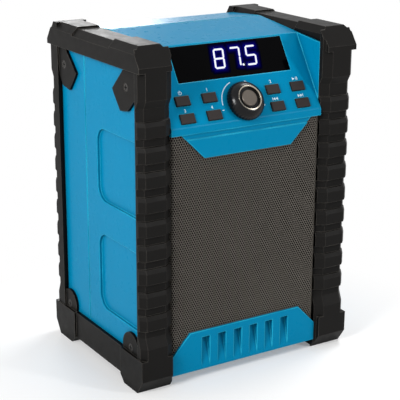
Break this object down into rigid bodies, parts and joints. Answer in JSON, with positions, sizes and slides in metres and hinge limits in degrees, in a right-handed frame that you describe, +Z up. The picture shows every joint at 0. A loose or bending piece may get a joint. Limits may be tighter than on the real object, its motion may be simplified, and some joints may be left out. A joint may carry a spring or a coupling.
{
  "type": "jobsite radio",
  "caption": "Rugged upright jobsite radio with ribbed corner guards, leaning control panel with display, knob and keys, perforated grille, battery bay and folding antenna.",
  "frame": {"origin": "middle of the whole footprint on the surface the radio stands on: on the plane of left-right symmetry and midway between the front of the volume knob and the rear faces of the guard frames", "axes": "+Z up, +Y towards the back, +X to the right as seen from the front"},
  "size_m": [0.2, 0.1562, 0.275],
  "materials": {
    "housing_blue": "fine satin moulded plastic, bright blue",
    "guard_black": "matte black rubbery moulding with worn ribs",
    "screw_steel": "dark plated cross-recess screws",
    "grille_metal": "powder coated perforated sheet, dark grey-brown",
    "window_gloss": "piano-black window",
    "display_digits": "dark module with lit figures",
    "key_black": "dark grey rubbery keys",
    "knob_black": "black fluted knob",
    "knob_metal": "turned bright ring",
    "board_green": "circuit board",
    "basket_steel": "pressed steel, black",
    "cone_paper": "coated paper cone with rubber surround",
    "ferrite": "ferrite ring magnet",
    "copper_coil": "wound voice coil former",
    "flap_rubber": "soft black rubber",
    "contact_metal": "nickel plated spring steel",
    "antenna_chrome": "bright telescopic tube",
    "socket_black": "black moulded sockets"
  },
  "bodies": {
    "root": {"front_housing": "housing_blue", "rear_housing": "housing_blue", "guard_left": "guard_black", "guard_right": "guard_black", "guard_screws": "screw_steel", "housing_screws": "screw_steel", "speaker_grille": "grille_metal", "woofer_basket": "basket_steel", "woofer_cone": "cone_paper", "dust_cap": "cone_paper", "voice_coil": "copper_coil", "woofer_magnet": "ferrite", "display_window": "window_gloss", "display_module": "display_digits", "keypad_mat": "flap_rubber", "control_board": "board_green", "rotary_encoder": "contact_metal", "hinge_pin": "screw_steel", "battery_contacts": "contact_metal", "amplifier_board": "board_green", "socket_plate": "socket_black", "power_socket": "socket_black", "audio_socket": "socket_black", "flap_anchor": "flap_rubber"},
    "knob": {"volume_knob": "knob_black", "knob_ring": "knob_metal", "knob_cap": "knob_black", "encoder_shaft": "contact_metal"},
    "battery_door": {"battery_door": "housing_blue"},
    "socket_flap": {"socket_flap": "flap_rubber"},
    "antenna_swivel": {"antenna_swivel": "socket_black"},
    "antenna_lower": {"antenna_lower": "antenna_chrome"},
    "antenna_middle": {"antenna_middle": "antenna_chrome"},
    "antenna_tip": {"antenna_tip": "antenna_chrome"},
    "power_button": {"power_button": "key_black"},
    "source_button": {"source_button": "key_black"},
    "pairing_button": {"pairing_button": "key_black"},
    "play_button": {"play_button": "key_black"},
    "preset_button": {"preset_button": "key_black"},
    "scan_button": {"scan_button": "key_black"},
    "back_button": {"back_button": "key_black"},
    "next_button": {"next_button": "key_black"}
  },
  "joints": [
    {"name": "power_button_press", "type": "slide", "parent": "root", "child": "power_button", "axis": [0, 0.8434, -0.5373], "range_m": [0, 0.0012], "stiffness_N_per_m": 900, "springref_m": -0.0004},
    {"name": "source_button_press", "type": "slide", "parent": "root", "child": "source_button", "axis": [0, 0.8434, -0.5373], "range_m": [0, 0.0012], "stiffness_N_per_m": 900, "springref_m": -0.0004},
    {"name": "pairing_button_press", "type": "slide", "parent": "root", "child": "pairing_button", "axis": [0, 0.8434, -0.5373], "range_m": [0, 0.0012], "stiffness_N_per_m": 900, "springref_m": -0.0004},
    {"name": "play_button_press", "type": "slide", "parent": "root", "child": "play_button", "axis": [0, 0.8434, -0.5373], "range_m": [0, 0.0012], "stiffness_N_per_m": 900, "springref_m": -0.0004},
    {"name": "preset_button_press", "type": "slide", "parent": "root", "child": "preset_button", "axis": [0, 0.8434, -0.5373], "range_m": [0, 0.0012], "stiffness_N_per_m": 900, "springref_m": -0.0004},
    {"name": "scan_button_press", "type": "slide", "parent": "root", "child": "scan_button", "axis": [0, 0.8434, -0.5373], "range_m": [0, 0.0012], "stiffness_N_per_m": 900, "springref_m": -0.0004},
    {"name": "back_button_press", "type": "slide", "parent": "root", "child": "back_button", "axis": [0, 0.8434, -0.5373], "range_m": [0, 0.0012], "stiffness_N_per_m": 900, "springref_m": -0.0004},
    {"name": "next_button_press", "type": "slide", "parent": "root", "child": "next_button", "axis": [0, 0.8434, -0.5373], "range_m": [0, 0.0012], "stiffness_N_per_m": 900, "springref_m": -0.0004},
    {"name": "knob_turn", "type": "hinge", "parent": "root", "child": "knob", "pos_m": [0, -0.06376, 0.22208], "axis": [0, -0.8434, 0.5373], "continuous": true},
    {"name": "battery_door_hinge", "type": "hinge", "parent": "root", "child": "battery_door", "pos_m": [0, 0.07071, 0.0275], "axis": [-1, 0, 0], "range_deg": [0, 95]},
    {"name": "socket_flap_hinge", "type": "hinge", "parent": "root", "child": "socket_flap", "pos_m": [0.028, 0.07111, 0.1633], "axis": [1, 0, 0], "range_deg": [0, 110]},
    {"name": "antenna_turn", "type": "hinge", "parent": "root", "child": "antenna_swivel", "pos_m": [0.06, 0.07511, 0.252], "axis": [0, 1, 0], "range_deg": [0, 180]},
    {"name": "antenna_tilt", "type": "hinge", "parent": "antenna_swivel", "child": "antenna_lower", "pos_m": [0.06, 0.07511, 0.252], "axis": [1, 0, 0], "range_deg": [0, 90]},
    {"name": "antenna_middle_slide", "type": "slide", "parent": "antenna_lower", "child": "antenna_middle", "axis": [0, 0, -1], "range_m": [0, 0.098]},
    {"name": "antenna_tip_slide", "type": "slide", "parent": "antenna_middle", "child": "antenna_tip", "axis": [0, 0, -1], "range_m": [0, 0.094]}
  ]
}
